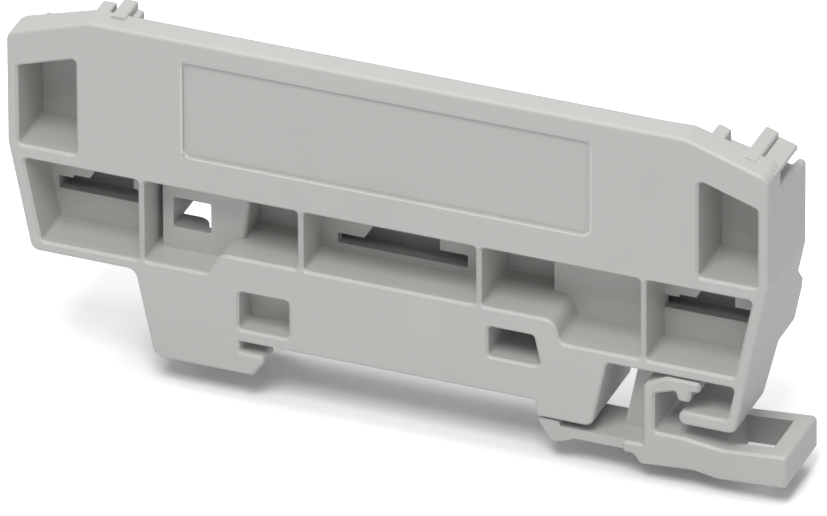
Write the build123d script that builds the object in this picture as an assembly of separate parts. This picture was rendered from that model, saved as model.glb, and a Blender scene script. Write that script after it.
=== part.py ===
"""End cover for a row of terminal blocks, with its sliding snap foot.

Millimetres. X runs along the cover, Y from its outer face to its mating side, Z up from the seat. The origin
is the middle of the seat: halfway between the hooks, and halfway through the seat's depth.
"""
from build123d import *
from math import radians, tan
import os

# Overall form
length = 90.0            # over the vertical sides
top = 37.2               # highest face above the seat
cover_depth = 11.6       # outer face to mating rim, and the depth of the seat
shoulder_run = 9.8       # the sloped shoulders take this much of the length at each end
shoulder_drop = 3.2
side_break = 20.0        # below this height the sides lean in
side_lean = 11.3         # degrees
wall = 1.5               # main wall thickness
thin_wall = 1.2          # inner partitions and pocket backs

# Roundings
corner = 1.5             # corners of the outline
soft_round = 1.1         # larger inner corners
small_round = 0.5        # small corners
fine_round = 0.3         # corners that look sharp
edge_round = 0.45        # rim of the outer face
mouth_bevel = 0.3        # mouths of the pockets in the outer face
full_round = 0.45        # rounding of a lip's or a clip's end, as a share of its thickness

# Front shell, measured from the outer face
shell_depth = 3.9        # between the shoulders
shell_end_depth = 4.65   # at the two ends
shell_flare = 13.0       # the rear edge runs back over this length at each end
shell_round = 1.1        # rounding of the rear edge
shell_panel = 2.0        # thickness of the outer panel

# Rear box, which carries the mating rim
box_top = 29.2           # its top wall
ridge_rise = 1.15        # its side walls stand this much higher
ridge_width = 0.75       # flat top of a side wall
ridge_chamfer = 1.0      # from that flat top down to the top wall
rear_wall = 1.7          # wall that closes the space behind the compartments

# Connecting tongues at the lower ends of the sides
lug_reach = 3.3          # beyond the mating rim
lug_top = 16.0
lug_bottom = 7.65
lug_nose = 2.6           # height of the tongue's slanted nose

# Label panel and corner pockets
panel_bottom = 18.2
label_width = 48.0
label_height = 11.9
label_drop = 2.7         # from the top face to the label field
label_depth = 0.3
pocket_width = 6.95
pocket_side = 1.3        # wall between a corner pocket and the cover's side
pocket_roof = 4.5        # from the sloped shoulder down to the pocket
pocket_floor = 0.25      # step from the panel's band up to the pocket
pocket_depth = 7.5

# Compartments below the panel
underside = 6.6          # lower face of the bottom wall
floor_wall = 1.4
floor_depth = 10.0       # depth of the bottom wall
middle_floor = 10.8      # raised floor over the seat
step_left = -21.2        # foot of the raised floor's left end
step_right = 20.5        # foot of its right end
step_run = 1.4           # how far the left end leans
step_run_right = 0.7
bay_depth = 6.0
deep_bay = 8.5
shallow_bay = 4.0
rib = 0.65               # thickness of the thin ribs
ribs_at = [-29.15, -10.2, 10.9, 30.3]
panel_left = -28.1       # shallow panel beside the first rib
panel_right_low = -18.6  # its right edge leans
panel_right_high = -17.4
deep_right = 17.6        # end of the right-hand deep bay

# Slots in the compartments' back walls. A tab hangs into each end: for the left one, points at a distance
# from the slot's end and a height above its lower edge, for the right one its width and height.
slot_low = 11.6
slot_high = 16.2
slot_inset = 0.5         # from an outer compartment's end to its slot
outer_left_tab = [(0, 1.6), (1.7, 1.6), (1.7, 1.95), (3.7, 1.95), (4.2, 2.8)]
outer_right_tab = (2.4, 1.7)
middle_slot_left = -8.05
middle_slot_right = 7.37
middle_left_tab = [(0, 1.25), (3.15, 1.25), (4.15, 2.85)]
middle_right_tab = (3.3, 1.6)

# Window in the shallow panel, with the shelf behind it
window_left = -26.85
window_width = 4.5
window_low = 10.75
window_height = 3.8
shelf_depth = 7.0        # rear edge of the shelf
shelf_right = -23.2
shelf_round = 1.75
window_way = 2.0         # the way out behind the shelf starts this far left of the window

# Seat and hooks
seat_width = 35.1        # clear width between the hooks at the seat
grip = 1.3               # clear height under the fixed hook
hook_tip = -14.65
hook_bottom = -4.1
hook_nose = 1.9          # height of the hook's slanted nose
hook_slant = 1.35
hook_lean = 12.0         # degrees, outer side of the left leg
leg_left = -30.0         # left leg where it meets the bottom wall
block_bottom = -1.95
block_inset = 18.95      # from the cover's right end to the right block, at the bottom wall
block_slant = 0.15
seat_nub = -13.0
seat_nub_radius = 0.5
seat_nub_drop = 0.34

# J hook that guides the foot
j_wall = 1.25
j_depth = 10.0
j_taper = 1.6            # it gets this much shallower towards its foot
j_bottom = 0.7
j_lip = 1.7
j_inset = 10.5           # from the cover's right end to the hook's tip

# Small pockets beside the seat: left, right, bottom, top, depth
left_pocket = (-17.6, -11.65, 1.6, 6.4, 3.7)
right_pocket = (12.0, 18.2, 4.5, 8.3, 8.0)
right_pocket_slant = 0.8

# Snap foot. Its places along the cover, after the nose, are measured from the cover's right end.
travel = 2.4             # how far the foot pulls out
play = 0.25              # clearance between the foot and the cover
foot_depth = 9.6
foot_bevel = 0.3         # rim of the foot's front
arm_depth = 6.8
arm_set_back = 0.4
arm_thickness = 1.2
arm_top = -2.85
nose_reach = 16.4        # tip of the nose, under the edge of the seat
nose_root = 20.0
nose_top = -1.15
nose_set_back = 2.85     # the tip hides behind the block's front wall
nose_bottom = -4.95
plate_left = -17.15      # the foot's front plate starts here
plate_knee = -15.0       # and reaches its full height here
c_left = -14.7           # C frame round the J hook
c_wall = 1.35
c_floor = -0.95
c_arm_end = -8.0
c_arm_thickness = 1.6
c_corner_run = 2.8       # slope of the C frame's outer corner
c_corner_drop = 1.4
c_nub_left = -10.6
c_nub_right = -9.2
c_nub_low = 3.6
brace_set_back = 3.35    # thicker part of the C frame's leg, behind its front
brace_left = -18.1
brace_slant = 1.9
tab_right = 2.2
tab_bottom = -5.0
tab_top = -0.9
tab_belly_left = -8.9    # the tab's underside swells between these two places
tab_belly_right = -5.9
tab_belly = 0.5
tab_floor_end = -10.0    # where the C frame's floor runs out into the tab's slope
tab_slope_end = -5.3
tab_slope_drop = 0.6
tab_slope_round = 3.0
release_left = -5.5      # window for a screwdriver
release_right = 0.1
release_front = 1.9
release_back = 8.0
release_lean = 0.9       # its rear wall leans back by this much

# Snap clips behind the shell: end of the cover (-1 left, 1 right), distances of the clip's two sides from
# that end, its top against the surface, its thickness and the depth of its end
clips = [
    (1, 8.1, 6.5, -0.1, 1.4, 5.7),
    (1, 3.8, 2.2, 0.1, 1.6, 9.0),
    (1, 2.2, 0.0, -0.4, 0.45, 9.0),
    (-1, 9.4, 11.1, 0.0, 1.5, 5.4),
    (-1, 11.7, 13.4, 0.3, 1.8, 6.0),
    (-1, 13.4, 14.3, -0.45, 1.0, 5.5),
]

front = -cover_depth / 2
half = length / 2
turn = half - shoulder_run
block_right = half - block_inset
j_tip = half - j_inset
floor = underside + floor_wall
seat_half = seat_width / 2
lean = tan(radians(side_lean))
leg_lean = tan(radians(hook_lean))
slope = shoulder_drop / shoulder_run
ridge_top = box_top + ridge_rise
band_top = panel_bottom + wall
rear_floor = slot_low - 1.0
lug_depth = cover_depth + lug_reach
beyond = 1.0             # how far a cut runs past the surface it opens
big = 4 * length


def side_x(z):
    """How far out the cover's side is at a height."""
    return half - max(0.0, side_break - z) * lean


def shoulder_z(x):
    """Height of the top or the sloped shoulder at a place along the cover."""
    return top - max(0.0, abs(x) - turn) * slope


def slab(corners, start, end):
    """A flat piece. Its outline is a list of (x, z, corner radius), its depth runs from start to end."""
    points = [(x, z) for x, z, radius in corners]
    radii = [radius for x, z, radius in corners]
    face = make_face(FilletPolyline(*points, radius=radii, close=True))
    return extrude(Plane.XZ.offset(-(front + start)) * face, amount=end - start, dir=(0, 1, 0))


def block(x0, x1, start, end, z0, z1, radius=0.0):
    """A straight piece between two lengths, two depths and two heights."""
    return slab([(x0, z0, radius), (x1, z0, radius), (x1, z1, radius), (x0, z1, radius)], start, end)


def side_piece(points, x0, x1):
    """A piece cut to a side view, given as (depth, height), from one length to another."""
    face = make_face(Polyline(*[(front + y, z) for y, z in points], close=True))
    return extrude(Plane.YZ.offset(x0) * face, amount=x1 - x0, dir=(1, 0, 0))


def plan_piece(corners, low, high):
    """A piece cut to a plan view, given as (x, depth, corner radius), from one height to another."""
    points = [(x, front + y) for x, y, radius in corners]
    radii = [radius for x, y, radius in corners]
    face = make_face(FilletPolyline(*points, radius=radii, close=True))
    return extrude(Plane.XY.offset(low) * face, amount=high - low, dir=(0, 0, 1))


def both_ends(piece):
    """The piece and its mirror image at the other end of the cover."""
    return piece + mirror(piece, about=Plane.YZ)


def base_outline():
    """The left leg with the fixed hook, the seat and the right block, from left to right."""
    leg_foot = leg_left + (underside - hook_bottom) * leg_lean
    block_foot = block_right - (underside - block_bottom) * leg_lean
    return [
        (leg_foot, hook_bottom, corner),
        (hook_tip - hook_slant, hook_bottom, small_round),
        (hook_tip, hook_bottom + hook_nose, small_round),
        (hook_tip, -grip, small_round),
        (-seat_half, -grip, fine_round),
        (-seat_half, 0, 0),
        (seat_half, 0, 0),
        (seat_half + block_slant, block_bottom, small_round),
        (block_foot, block_bottom, soft_round),
    ]


def lower_outline():
    """Outline of the outer face below the shoulders, from the upper left round to the upper right."""
    j_top = j_bottom + j_lip
    return [
        (-half, side_break, corner),
        (-side_x(underside), underside, soft_round),
        (leg_left, underside, soft_round),
        *base_outline(),
        (block_right, underside, small_round),
        (side_x(underside) - j_wall, underside, small_round),
        (side_x(j_top) - j_wall, j_top, small_round),
        (j_tip, j_top, full_round * j_lip),
        (j_tip, j_bottom, full_round * j_lip),
        (side_x(j_bottom), j_bottom, soft_round),
        (half, side_break, corner),
    ]


def shell():
    """The shallow upper part. Its rear edge is rounded, and lies further back at the ends."""
    low = box_top - wall
    plan_depth = shell_end_depth + (big - half) * (shell_end_depth - shell_depth) / shell_flare
    outline = [
        (-turn, top, corner),
        (-half, top - shoulder_drop, corner),
        (-half, low, 0),
        (half, low, 0),
        (half, top - shoulder_drop, corner),
        (turn, top, corner),
    ]
    plan = [
        (-big, -big, 0),
        (big, -big, 0),
        (big, plan_depth, 0),
        (half - shell_flare, shell_depth, 0),
        (shell_flare - half, shell_depth, 0),
        (-big, plan_depth, 0),
    ]
    solid = slab(outline, 0, cover_depth) & plan_piece(plan, low, top)
    rear = solid.edges().filter_by(lambda e: e.center().Y > front + shell_depth - mouth_bevel)
    ends = rear.filter_by(Axis.Z).filter_by(lambda e: abs(e.center().X) > half - mouth_bevel)
    upper = rear.filter_by(Axis.Z, reverse=True).filter_by(lambda e: e.center().Z > low + mouth_bevel)
    return fillet(ends + upper, shell_round)


def rear_box():
    """The box behind the shell, with the ridges of its side walls, and the base below it."""
    outline = [
        (-half + ridge_width + ridge_chamfer, box_top, small_round),
        (-half + ridge_width, ridge_top, fine_round),
        (-half, ridge_top, small_round),
        *lower_outline(),
        (half, ridge_top, small_round),
        (half - ridge_width, ridge_top, fine_round),
        (half - ridge_width - ridge_chamfer, box_top, small_round),
    ]
    body = slab(outline, 0, floor_depth)
    body += slab(outline, 0, cover_depth) & block(-big, big, 0, cover_depth, rear_floor - thin_wall, top)
    base = [(leg_left, rear_floor, 0), (leg_left, underside, 0), *base_outline()]
    base += [(block_right, underside, 0), (block_right, rear_floor, 0)]
    body += slab(base, 0, cover_depth)
    j_back = [
        (j_depth, lug_bottom),
        (j_depth - j_taper, j_bottom),
        (j_depth - j_taper, j_bottom - beyond),
        (cover_depth + beyond, j_bottom - beyond),
        (cover_depth + beyond, lug_bottom),
    ]
    return body - side_piece(j_back, block_right + wall, half)


def connecting_tongue():
    """Tongue at the lower end of a side, which reaches over the neighbour."""
    strip = [
        (side_x(lug_bottom) - wall, lug_bottom, 0),
        (side_x(lug_bottom), lug_bottom, 0),
        (side_x(lug_top), lug_top, 0),
        (side_x(lug_top) - wall, lug_top, 0),
    ]
    view = [
        (shell_end_depth, lug_bottom),
        (lug_depth, lug_bottom),
        (lug_depth, lug_top - lug_nose - wall),
        (lug_depth - small_round, lug_top - lug_nose),
        (cover_depth, lug_top),
        (shell_end_depth, lug_top),
    ]
    return both_ends(slab(strip, shell_end_depth, lug_depth) & side_piece(view, 0, half))


def corner_pocket(grow, depth):
    """Volume of a corner pocket, grown by a wall thickness where it is asked for."""
    outer = half - pocket_side
    inner = outer - pocket_width
    low = band_top + pocket_floor
    shape = [
        (inner - grow, low - grow, small_round),
        (outer + grow, low - grow, small_round),
        (outer + grow, shoulder_z(outer) - pocket_roof + grow, small_round),
        (inner - grow, shoulder_z(inner) - pocket_roof + grow, small_round),
    ]
    return both_ends(slab(shape, 0, depth))


def compartment(left, right, depth, floor_left, floor_right, step=()):
    """One compartment between two sides, each given by its place at the floor and below the panel."""
    low_left, high_left = left
    low_right, high_right = right
    corners = [
        (low_left, floor_left, small_round),
        *step,
        (low_right, floor_right, small_round),
        (high_right, panel_bottom, small_round),
        (high_left, panel_bottom, small_round),
    ]
    return slab(corners, 0, depth)


def compartments():
    """The five compartments with the thin ribs between them, and their deeper and shallower stretches."""
    end_low = side_x(floor) - wall
    end_high = side_x(panel_bottom) - wall
    first, second, third, fourth = ribs_at
    step_up = [(step_left, floor, small_round), (step_left + step_run, middle_floor, corner)]
    step_down = [(step_right - step_run_right, middle_floor, corner), (step_right, floor, soft_round)]

    def upright(x):
        return x, x

    outer_left = compartment((-end_low, -end_high), upright(first - rib / 2), bay_depth, floor, floor)
    outer_right = compartment(upright(fourth + rib / 2), (end_low, end_high), bay_depth, floor, floor)
    middle_sides = upright(second + rib / 2), upright(third - rib / 2)
    middle = compartment(*middle_sides, bay_depth, middle_floor, middle_floor)

    left_sides = upright(first + rib / 2), upright(second - rib / 2)
    strip = block(-half, panel_left, 0, bay_depth, 0, top)
    lean_to = slab(
        [
            (panel_right_low, middle_floor - wall, 0),
            (0, middle_floor - wall, 0),
            (0, panel_bottom, 0),
            (panel_right_high, panel_bottom, 0),
        ],
        0,
        deep_bay,
    )
    left = compartment(*left_sides, shallow_bay, floor, middle_floor, step_up)
    left += compartment(*left_sides, bay_depth, floor, middle_floor, step_up) & strip
    left += compartment(*left_sides, deep_bay, floor, middle_floor, step_up) & lean_to
    panel_edge = left.edges().filter_by(
        lambda e: abs(e.center().Y - front - shallow_bay) < mouth_bevel
        and panel_right_low < e.center().X < panel_right_high
        and e.length > bay_depth
    )
    left = fillet(panel_edge, small_round)

    right_sides = upright(third + rib / 2), upright(fourth - rib / 2)
    right = compartment(*right_sides, bay_depth, middle_floor, floor, step_down)
    deep_stretch = block(0, deep_right, 0, deep_bay, 0, top)
    right += compartment(*right_sides, deep_bay, middle_floor, floor, step_down) & deep_stretch
    return Part() + [outer_left, left, middle, right, outer_right]


def back_slot(x0, x1, left_tab, right_tab):
    """A slot through a compartment's back wall, less the tabs that hang into its two ends."""
    end = bay_depth + thin_wall
    width, height = right_tab
    left_corners = [(x0 + run, slot_low + rise, 0) for run, rise in left_tab]
    left_corners += [(left_corners[-1][0], slot_high + beyond, 0), (x0, slot_high + beyond, 0)]
    slot = block(x0, x1, bay_depth, end, slot_low, slot_high)
    slot -= slab(left_corners, bay_depth - beyond, end + beyond)
    return slot - block(
        x1 - width, x1 + beyond, bay_depth - beyond, end + beyond, slot_low + height, slot_high + beyond
    )


def back_slots():
    """The slots of the two outer compartments and of the middle one."""
    end = side_x(slot_low) - wall - slot_inset
    return (
        back_slot(-end, ribs_at[0] - rib / 2 - slot_inset, outer_left_tab, outer_right_tab)
        + back_slot(ribs_at[3] + rib / 2, end, outer_left_tab, outer_right_tab)
        + back_slot(middle_slot_left, middle_slot_right, middle_left_tab, middle_right_tab)
    )


def rear_hollows():
    """What is cored out of the mating side and out of the space behind the compartments."""
    inner = half - wall
    rear_end = side_x(rear_floor) - wall
    shell_core = [
        (-turn, top - wall, small_round),
        (-inner, top - shoulder_drop - wall, small_round),
        (-inner, ridge_top, 0),
        (inner, ridge_top, 0),
        (inner, top - shoulder_drop - wall, small_round),
        (turn, top - wall, small_round),
    ]
    cores = [
        block(-inner, inner, shell_panel, cover_depth + beyond, band_top, box_top - wall),
        slab(shell_core, shell_panel, shell_end_depth + beyond),
        block(-rear_end, rear_end, bay_depth + thin_wall, cover_depth - rear_wall, rear_floor, panel_bottom),
    ]
    deep_back = deep_bay + thin_wall
    keep = [
        corner_pocket(thin_wall, pocket_depth + thin_wall),
        block(panel_right_low - thin_wall, ribs_at[1] + thin_wall, 0, deep_back, 0, band_top),
        block(ribs_at[2] - thin_wall, deep_right + thin_wall, 0, deep_back, 0, band_top),
        block(panel_left, panel_right_low, 0, shallow_bay + thin_wall, 0, band_top),
        block(window_left - rib, window_left, 0, cover_depth, 0, band_top),
    ]
    return (Part() + cores) - (Part() + keep)


def panel_window():
    """Window in the shallow panel, the shelf behind it and the way out under the rear wall."""
    right = window_left + window_width
    high = window_low + window_height
    cut = block(window_left, right, 0, shelf_depth, window_low, high, fine_round)
    cut += block(
        window_left, panel_right_low - thin_wall, shallow_bay + thin_wall, bay_depth + thin_wall,
        window_low, panel_bottom,
    )
    way_out = [
        (window_left - window_way, shelf_depth, 0),
        (shelf_right, shelf_depth, shelf_round),
        (shelf_right, shallow_bay + thin_wall, 0),
        (right, shallow_bay + thin_wall, 0),
        (right, cover_depth + beyond, 0),
        (window_left - window_way, cover_depth + beyond, 0),
    ]
    return cut + plan_piece(way_out, underside, window_low)


def base_hollows():
    """Cores from the mating side in the left leg, in the middle of the base and in the block."""
    start = left_pocket[4] + thin_wall
    end = cover_depth + beyond
    roof = middle_floor - wall
    leg_low = hook_bottom + wall
    leg_x = leg_left + (underside - leg_low) * leg_lean + wall
    block_low = block_bottom + wall
    block_x = block_right - (underside - block_low) * leg_lean - wall
    leg = [
        (leg_x, leg_low, 0),
        (-seat_half - wall, leg_low, 0),
        (-seat_half - wall, underside, 0),
        (leg_left + wall, underside, 0),
    ]
    block_side = [
        (0, block_low, 0),
        (block_x, block_low, 0),
        (block_right - wall, underside, 0),
        (0, underside, 0),
    ]
    nose_end = arm_depth + play + thin_wall
    behind_nose = slab(block_side, nose_end, end)
    behind_nose &= block(right_pocket[1] + thin_wall, block_right, nose_end, end, block_low, underside)
    return (
        slab(leg, start, end)
        + block(-seat_half, -thin_wall / 2, start, end, wall, roof)
        + block(thin_wall / 2, right_pocket[0] - thin_wall, start, end, wall, roof)
        + behind_nose
    )


def nose_slot():
    """Room behind the block's front wall for the foot's nose, its travel and its spring when it snaps in."""
    return block(
        nose_reach - play, nose_root + travel + play, nose_set_back - play, arm_depth + play,
        block_bottom - beyond, right_pocket[2] - thin_wall,
    )


def mating_clips():
    """Snap clips that stand behind the sloped shoulders and the top."""
    made = []
    for end, far, near, rise, thickness, reach in clips:
        x0, x1 = sorted([end * (half - far), end * (half - near)])
        low_left = shoulder_z(x0) + rise - thickness
        low_right = shoulder_z(x1) + rise - thickness
        outline = [(x0, low_left, 0), (x1, low_right, 0)]
        rounding = min(fine_round, full_round * thickness, full_round * abs(far - near))
        outline += [(x1, low_right + thickness, rounding), (x0, low_left + thickness, rounding)]
        made.append(slab(outline, shell_panel, reach))
    return Part() + made


def end_cover():
    """The cover, one moulding."""
    pocket_back = pocket_depth + thin_wall
    body = rear_box() + shell()
    body += corner_pocket(thin_wall, pocket_back) & block(-half, half, 0, pocket_back, side_break, top)
    body -= corner_pocket(0.0, pocket_depth)
    body -= compartments()
    x0, x1, z0, z1, depth = left_pocket
    body -= block(x0, x1, 0, depth, z0, z1, small_round)
    x0, x1, z0, z1, depth = right_pocket
    slanted = [(x0, z0, small_round), (x1, z0, small_round), (x1 - right_pocket_slant, z1, small_round)]
    body -= slab([*slanted, (x0, z1, small_round)], 0, depth)

    outer_face = body.faces().filter_by(Axis.Y).sort_by(Axis.Y)[0]
    mouths = [edge for wire in outer_face.inner_wires() for edge in wire.edges()]
    body = chamfer(mouths, mouth_bevel)
    outer_face = body.faces().filter_by(Axis.Y).sort_by(Axis.Y)[0]
    body = fillet(outer_face.outer_wire().edges(), edge_round)

    body += connecting_tongue()
    body -= rear_hollows()
    body -= back_slots()
    body -= panel_window()
    body -= base_hollows()
    body -= nose_slot()
    label_high = top - label_drop
    body -= block(
        -label_width / 2, label_width / 2, 0, label_depth, label_high - label_height, label_high
    )
    nub = Plane.XZ.offset(-front) * Pos(seat_nub, seat_nub_radius - seat_nub_drop) * Circle(seat_nub_radius)
    body += extrude(nub, amount=cover_depth, dir=(0, 1, 0))
    return body + mating_clips()


def foot_latch():
    """The snap foot, one moulding."""
    arm_low = arm_top - arm_thickness
    c_top = underside - play
    c_arm_low = c_top - c_arm_thickness
    inner = c_left + c_wall
    frame = Pos(half, 0, 0) * slab(
        [
            (plate_left, arm_low - foot_bevel, small_round),
            (plate_left + travel / 2, arm_low - foot_bevel, small_round),
            (plate_knee, tab_bottom - tab_belly, small_round),
            (tab_belly_left, tab_bottom, corner),
            (tab_belly_right, tab_bottom - tab_belly, corner),
            (tab_right, tab_bottom, small_round),
            (tab_right, tab_top, small_round),
            (tab_slope_end, c_floor - tab_slope_drop, tab_slope_round),
            (tab_floor_end, c_floor, corner),
            (inner, c_floor, small_round),
            (inner, c_arm_low - c_arm_thickness / 2, small_round),
            (c_nub_left - foot_bevel, c_arm_low, fine_round),
            (c_nub_left, c_nub_low, small_round),
            (c_nub_right, c_nub_low, small_round),
            (c_nub_right + foot_bevel / 2, c_arm_low + play, fine_round),
            (c_arm_end, c_arm_low + play, small_round),
            (c_arm_end, c_top, small_round),
            (c_left + c_corner_run, c_top, soft_round),
            (c_left, c_top - c_corner_drop, soft_round),
            (c_left, arm_top, fine_round),
            (plate_left, arm_top, small_round),
        ],
        0,
        foot_depth,
    )
    rim = frame.faces().filter_by(Axis.Y).sort_by(Axis.Y)[0].edges()
    frame = chamfer(rim, foot_bevel)
    arm = block(nose_root, half + plate_left + beyond, arm_set_back, arm_depth, arm_low, arm_top)
    tip_x = nose_reach + thin_wall
    nose = slab(
        [
            (tip_x, block_bottom - play, fine_round),
            (nose_root - small_round, nose_bottom, small_round),
            (nose_root + small_round, nose_bottom + play, small_round),
            (nose_root + travel, arm_low, corner),
            (nose_root + travel, arm_top, 0),
            (nose_root + 2 * play, arm_top - play, small_round),
            (nose_root + play, block_bottom - play, fine_round),
        ],
        arm_set_back,
        arm_depth,
    )
    tip = slab(
        [
            (nose_reach, nose_top, fine_round),
            (nose_reach + play, nose_top - small_round, fine_round),
            (nose_root - small_round, nose_bottom + small_round, 0),
            (nose_root, block_bottom - play, 0),
            (nose_root, nose_top, fine_round),
        ],
        nose_set_back,
        arm_depth,
    )
    brace = Pos(half, 0, 0) * slab(
        [
            (brace_left, arm_top - play, 0),
            (inner - play, arm_top - play, 0),
            (inner - play, c_arm_low - small_round, 0),
            (c_left + c_corner_run, c_top, 0),
            (brace_left + brace_slant, c_top, fine_round),
        ],
        brace_set_back,
        foot_depth,
    )
    release = side_piece(
        [
            (release_front, tab_bottom - tab_belly - beyond),
            (release_back + release_lean, tab_bottom - tab_belly),
            (release_back, tab_top),
            (release_back, beyond),
            (release_front, beyond),
        ],
        half + release_left,
        half + release_right,
    )
    return frame + arm + nose + tip + brace - release


os.makedirs("parts", exist_ok=True)
export_step(end_cover(), "parts/end_cover.step")
export_step(foot_latch(), "parts/foot_latch.step")
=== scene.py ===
from math import cos, radians, sin

import bmesh
import bpy
from mathutils import Matrix, Vector


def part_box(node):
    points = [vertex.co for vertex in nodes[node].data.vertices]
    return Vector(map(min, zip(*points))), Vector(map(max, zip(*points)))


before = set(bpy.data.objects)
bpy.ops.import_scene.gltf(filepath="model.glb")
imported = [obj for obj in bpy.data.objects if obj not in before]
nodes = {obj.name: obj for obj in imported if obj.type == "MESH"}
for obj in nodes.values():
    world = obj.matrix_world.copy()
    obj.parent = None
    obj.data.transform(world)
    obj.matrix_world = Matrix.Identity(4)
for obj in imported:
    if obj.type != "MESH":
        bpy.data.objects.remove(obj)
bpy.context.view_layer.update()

# The end cover: one large injection moulding in light grey polyamide. Its skin is satin, with the fine spark
# texture of the mould and hardly any change of tone where the plastic flowed from the gate.
mm = 0.001


def moulded_skin():
    """Node group: the satin skin of a moulding, with its grain, its flow marks and the stray specks in it."""
    group = bpy.data.node_groups.new("moulded_skin", "ShaderNodeTree")
    face = group.interface
    face.new_socket("Plastic", in_out="INPUT", socket_type="NodeSocketColor")
    face.new_socket("Gloss", in_out="INPUT", socket_type="NodeSocketFloat")
    face.new_socket("Grain", in_out="INPUT", socket_type="NodeSocketFloat")
    face.new_socket("Colour", in_out="OUTPUT", socket_type="NodeSocketColor")
    face.new_socket("Roughness", in_out="OUTPUT", socket_type="NodeSocketFloat")
    face.new_socket("Normal", in_out="OUTPUT", socket_type="NodeSocketVector")
    add, join = group.nodes.new, group.links.new
    inward, outward = add("NodeGroupInput"), add("NodeGroupOutput")
    place = add("ShaderNodeTexCoord")

    flow = add("ShaderNodeTexNoise")
    flow.inputs["Scale"].default_value = 55
    flow.inputs["Detail"].default_value = 3
    flow.inputs["Distortion"].default_value = 1.2
    tone = add("ShaderNodeMapRange")
    tone.inputs["From Min"].default_value = 0.3
    tone.inputs["From Max"].default_value = 0.7
    tone.inputs["To Min"].default_value = 0.975
    tone.inputs["To Max"].default_value = 1.02

    specks = add("ShaderNodeTexVoronoi")
    specks.inputs["Scale"].default_value = 110
    speck_mask = add("ShaderNodeMapRange")
    speck_mask.inputs["From Min"].default_value = 0.012
    speck_mask.inputs["From Max"].default_value = 0.022
    speck_mask.inputs["To Min"].default_value = 0.8
    speck_mask.inputs["To Max"].default_value = 1.0

    shade = add("ShaderNodeMath")
    shade.operation = "MULTIPLY"
    tint = add("ShaderNodeVectorMath")
    tint.operation = "SCALE"

    grain = add("ShaderNodeTexNoise")
    grain.inputs["Scale"].default_value = 4200
    grain.inputs["Detail"].default_value = 2
    worn = add("ShaderNodeMath")
    worn.operation = "MULTIPLY_ADD"
    worn.inputs[1].default_value = 0.10
    relief = add("ShaderNodeBump")
    relief.inputs["Distance"].default_value = 0.02 * mm

    for texture in (flow, specks, grain):
        join(place.outputs["Object"], texture.inputs["Vector"])
    join(flow.outputs["Fac"], tone.inputs["Value"])
    join(specks.outputs["Distance"], speck_mask.inputs["Value"])
    join(tone.outputs["Result"], shade.inputs[0])
    join(speck_mask.outputs["Result"], shade.inputs[1])
    join(inward.outputs["Plastic"], tint.inputs[0])
    join(shade.outputs["Value"], tint.inputs["Scale"])
    join(tint.outputs["Vector"], outward.inputs["Colour"])
    join(flow.outputs["Fac"], worn.inputs[0])
    join(inward.outputs["Gloss"], worn.inputs[2])
    join(worn.outputs["Value"], outward.inputs["Roughness"])
    join(grain.outputs["Fac"], relief.inputs["Height"])
    join(inward.outputs["Grain"], relief.inputs["Strength"])
    join(relief.outputs["Normal"], outward.inputs["Normal"])
    return group


skin = moulded_skin()


def plastic(name, colour, gloss, grain):
    """A moulded plastic of one colour, with the skin above."""
    material = bpy.data.materials.new(name)
    material.use_nodes = True
    tree = material.node_tree
    shader = tree.nodes["Principled BSDF"]
    shader.inputs["IOR"].default_value = 1.5
    surface = tree.nodes.new("ShaderNodeGroup")
    surface.node_tree = skin
    surface.inputs["Plastic"].default_value = (*colour, 1)
    surface.inputs["Gloss"].default_value = gloss
    surface.inputs["Grain"].default_value = grain
    tree.links.new(surface.outputs["Colour"], shader.inputs["Base Color"])
    tree.links.new(surface.outputs["Roughness"], shader.inputs["Roughness"])
    tree.links.new(surface.outputs["Normal"], shader.inputs["Normal"])
    return material


cover_plastic = plastic("light_grey_polyamide", (0.50, 0.51, 0.49), gloss=0.42, grain=0.25)


def label_rim(material, middle, half_size, rounding, width, depth):
    """Rounds the edge and the corners of the label field with a bump, and paints a highlight into the colour:
    a thin light line round a face coloured slightly darker.
    """
    tree = material.node_tree
    add, join = tree.nodes.new, tree.links.new
    shader = tree.nodes["Principled BSDF"]
    surface = next(node for node in tree.nodes if node.type == "GROUP")
    place = add("ShaderNodeTexCoord")
    last = place.outputs["Object"]
    core = Vector(half_size) - Vector((rounding, 0, rounding))
    steps = [("SUBTRACT", middle), ("ABSOLUTE", (0, 0, 0)), ("SUBTRACT", core), ("MAXIMUM", (0, 0, 0))]
    for operation, value in steps:
        step = add("ShaderNodeVectorMath")
        step.operation = operation
        step.inputs[1].default_value = value
        join(last, step.inputs[0])
        last = step.outputs["Vector"]
    away = add("ShaderNodeVectorMath")
    away.operation = "LENGTH"
    fall = add("ShaderNodeMapRange")
    fall.interpolation_type = "SMOOTHSTEP"
    fall.inputs["From Min"].default_value = rounding
    fall.inputs["From Max"].default_value = rounding + width
    rim = add("ShaderNodeBump")
    rim.inputs["Distance"].default_value = depth
    # Painted highlight: along the rim the colour is lifted up to 1.4 times, and the field inside is coloured
    # 0.97 times, slightly darker.
    line = add("ShaderNodeValToRGB")
    line.color_ramp.elements[0].color = (0.97, 0.97, 0.97, 1)
    line.color_ramp.elements[1].color = (1, 1, 1, 1)
    line.color_ramp.elements.new(0.5).color = (1.4, 1.4, 1.4, 1)
    tint = add("ShaderNodeVectorMath")
    tint.operation = "MULTIPLY"
    join(last, away.inputs[0])
    join(away.outputs["Value"], fall.inputs["Value"])
    join(fall.outputs["Result"], rim.inputs["Height"])
    join(surface.outputs["Normal"], rim.inputs["Normal"])
    join(rim.outputs["Normal"], shader.inputs["Normal"])
    join(fall.outputs["Result"], line.inputs["Fac"])
    join(surface.outputs["Colour"], tint.inputs[0])
    join(line.outputs["Color"], tint.inputs[1])
    join(tint.outputs["Vector"], shader.inputs["Base Color"])


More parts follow.
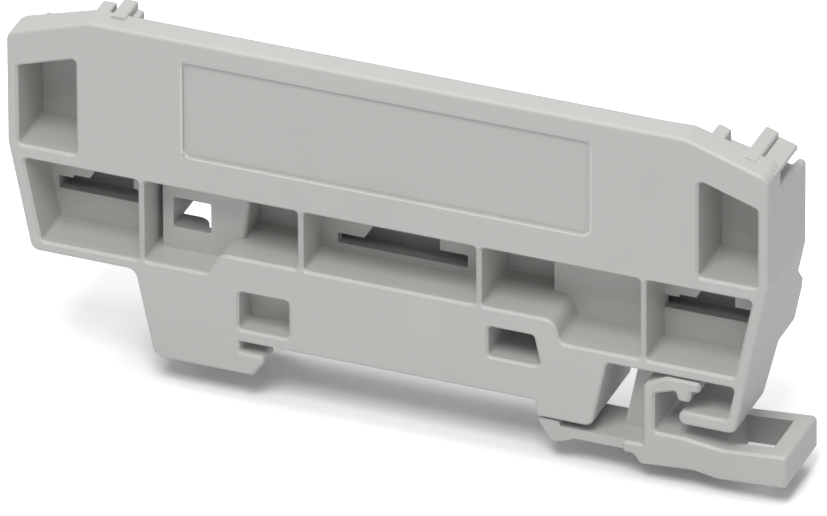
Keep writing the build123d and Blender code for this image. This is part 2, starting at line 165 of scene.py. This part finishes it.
outer_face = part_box("end_cover")[0].y
label_width = 48 * mm
label_height = 11.9 * mm
label_rise = 28.55 * mm  # from the seat to the middle of the label field
label_reach = 0.6 * mm  # full effect to this depth behind the outer face, and none at the rear of the panel
label_rim(
    cover_plastic,
    middle=(0, outer_face, label_rise),
    half_size=(label_width / 2, label_reach, label_height / 2),
    rounding=1.0 * mm,
    width=0.4 * mm,
    depth=0.12 * mm,
)
nodes["end_cover"].data.materials.clear()
nodes["end_cover"].data.materials.append(cover_plastic)

# The snap foot: a second, smaller moulding of the same plastic, which slides in the cover. It is a touch
# darker and smoother, as a part from another mould is.
foot_plastic = plastic("grey_polyamide_foot", (0.485, 0.495, 0.475), gloss=0.38, grain=0.2)
nodes["foot_latch"].data.materials.clear()
nodes["foot_latch"].data.materials.append(foot_plastic)

# The floor: plain, pale and matt. It lies a little below the seat, so that the cover hovers over it as it
# does in use, and it runs on to a white distance.
floor_drop = 7.5 * mm
floor_reach = 1.5

floor_mesh = bpy.data.meshes.new("floor")
plane = bmesh.new()
bmesh.ops.create_grid(plane, x_segments=1, y_segments=1, size=floor_reach)
bmesh.ops.translate(plane, vec=(0, 0, -floor_drop), verts=plane.verts)
plane.to_mesh(floor_mesh)
plane.free()
floor = bpy.data.objects.new("floor", floor_mesh)
bpy.context.collection.objects.link(floor)

paper = bpy.data.materials.new("white_paper_floor")
paper.use_nodes = True
paper_nodes = paper.node_tree.nodes
paper_links = paper.node_tree.links
paper_shader = paper_nodes["Principled BSDF"]
paper_shader.inputs["Roughness"].default_value = 0.9
paper_shader.inputs["Specular IOR Level"].default_value = 0.1
paper_shader.inputs["Emission Color"].default_value = (1, 1, 1, 1)
paper_ray = paper_nodes.new("ShaderNodeLightPath")
paper_colour = paper_nodes.new("ShaderNodeMix")
paper_colour.data_type = "RGBA"
paper_colour.inputs["A"].default_value = (0.8, 0.8, 0.8, 1)
paper_colour.inputs["B"].default_value = (1.0, 1.0, 1.0, 1)

# To the camera the paper glows where it is open: painted light of up to 0.35 that whitens the lamps' cast
# shadows there. The glow fades with the ambient occlusion under and close to the object, so the shade left
# there is partly the lamps' real shadow and partly painted shade.
openness = paper_nodes.new("ShaderNodeAmbientOcclusion")
openness.samples = 16
openness.inputs["Distance"].default_value = 30 * mm
painted_glow = paper_nodes.new("ShaderNodeMapRange")
painted_glow.inputs["From Min"].default_value = 0.45
painted_glow.inputs["From Max"].default_value = 0.9
painted_glow.inputs["To Max"].default_value = 0.35
painted_glow_seen = paper_nodes.new("ShaderNodeMath")
painted_glow_seen.operation = "MULTIPLY"
paper_links.new(openness.outputs["AO"], painted_glow.inputs["Value"])
paper_links.new(painted_glow.outputs["Result"], painted_glow_seen.inputs[0])
paper_links.new(paper_ray.outputs["Is Camera Ray"], painted_glow_seen.inputs[1])
paper_links.new(painted_glow_seen.outputs["Value"], paper_shader.inputs["Emission Strength"])
paper_links.new(paper_ray.outputs["Is Camera Ray"], paper_colour.inputs["Factor"])
paper_links.new(paper_colour.outputs["Result"], paper_shader.inputs["Base Color"])
floor_mesh.materials.append(paper)

# The surroundings: even light from all sides, and plain white where the camera or a reflection looks past
# the floor.
sky = bpy.data.worlds.new("studio")
bpy.context.scene.world = sky
sky.use_nodes = True
sky_nodes = sky.node_tree.nodes
sky_links = sky.node_tree.links
even_light = sky_nodes["Background"]
even_light.inputs["Color"].default_value = (1, 1, 1, 1)
even_light.inputs["Strength"].default_value = 0.40
white = sky_nodes.new("ShaderNodeBackground")
white.inputs["Color"].default_value = (1, 1, 1, 1)
white.inputs["Strength"].default_value = 1.0
sky_ray = sky_nodes.new("ShaderNodeLightPath")
camera_or_glossy = sky_nodes.new("ShaderNodeMath")
camera_or_glossy.operation = "MAXIMUM"
any_view = sky_nodes.new("ShaderNodeMath")
any_view.operation = "MAXIMUM"
choose = sky_nodes.new("ShaderNodeMixShader")
sky_links.new(sky_ray.outputs["Is Camera Ray"], camera_or_glossy.inputs[0])
sky_links.new(sky_ray.outputs["Is Glossy Ray"], camera_or_glossy.inputs[1])
sky_links.new(camera_or_glossy.outputs["Value"], any_view.inputs[0])
sky_links.new(sky_ray.outputs["Is Transmission Ray"], any_view.inputs[1])
sky_links.new(any_view.outputs["Value"], choose.inputs["Fac"])
sky_links.new(even_light.outputs["Background"], choose.inputs[1])
sky_links.new(white.outputs["Background"], choose.inputs[2])
sky_links.new(choose.outputs["Shader"], sky_nodes["World Output"].inputs["Surface"])


# The lamps: a wide soft box overhead, and a soft key high above the front.
def soft_box(name, place, target, width, watts):
    """A square area lamp that looks at a point of the object."""
    light = bpy.data.lights.new(name, "AREA")
    light.shape = "SQUARE"
    light.size = width
    light.energy = watts
    lamp = bpy.data.objects.new(name, light)
    lamp.location = place
    lamp.rotation_euler = (Vector(target) - Vector(place)).to_track_quat("-Z", "Y").to_euler()
    bpy.context.collection.objects.link(lamp)


middle = (0, 0, 15 * mm)
soft_box("overhead_box", (0.0, 0.10, 0.95), middle, width=0.5, watts=2.6)
soft_box("key_box", (0.06, -0.56, 0.98), middle, width=0.45, watts=7.4)

# The camera: a long lens above and to the right of the front, at the photograph's viewing angle.
azimuth = radians(21.571)
elevation = radians(30.753)
roll = -0.0046976
distance = 2.659013
lens_mm = 1047.43
aim_right = 3.051 * mm
aim_up = 12.548 * mm

right = Vector((cos(azimuth), sin(azimuth), 0))
back = Vector((sin(azimuth) * cos(elevation), -cos(azimuth) * cos(elevation), sin(elevation)))
up = back.cross(right)
aim = Vector((0, outer_face, 0)) + right * aim_right + up * aim_up
across = right * cos(roll) + up * sin(roll)
upright = up * cos(roll) - right * sin(roll)

lens = bpy.data.cameras.new("camera")
lens.sensor_fit = "HORIZONTAL"
lens.sensor_width = 36
lens.lens = lens_mm
camera = bpy.data.objects.new("camera", lens)
turned = Matrix((across, upright, back)).transposed().to_4x4()
camera.matrix_world = Matrix.Translation(aim + back * distance) @ turned
bpy.context.collection.objects.link(camera)
bpy.context.scene.camera = camera
bpy.context.scene.view_settings.view_transform = "Standard"
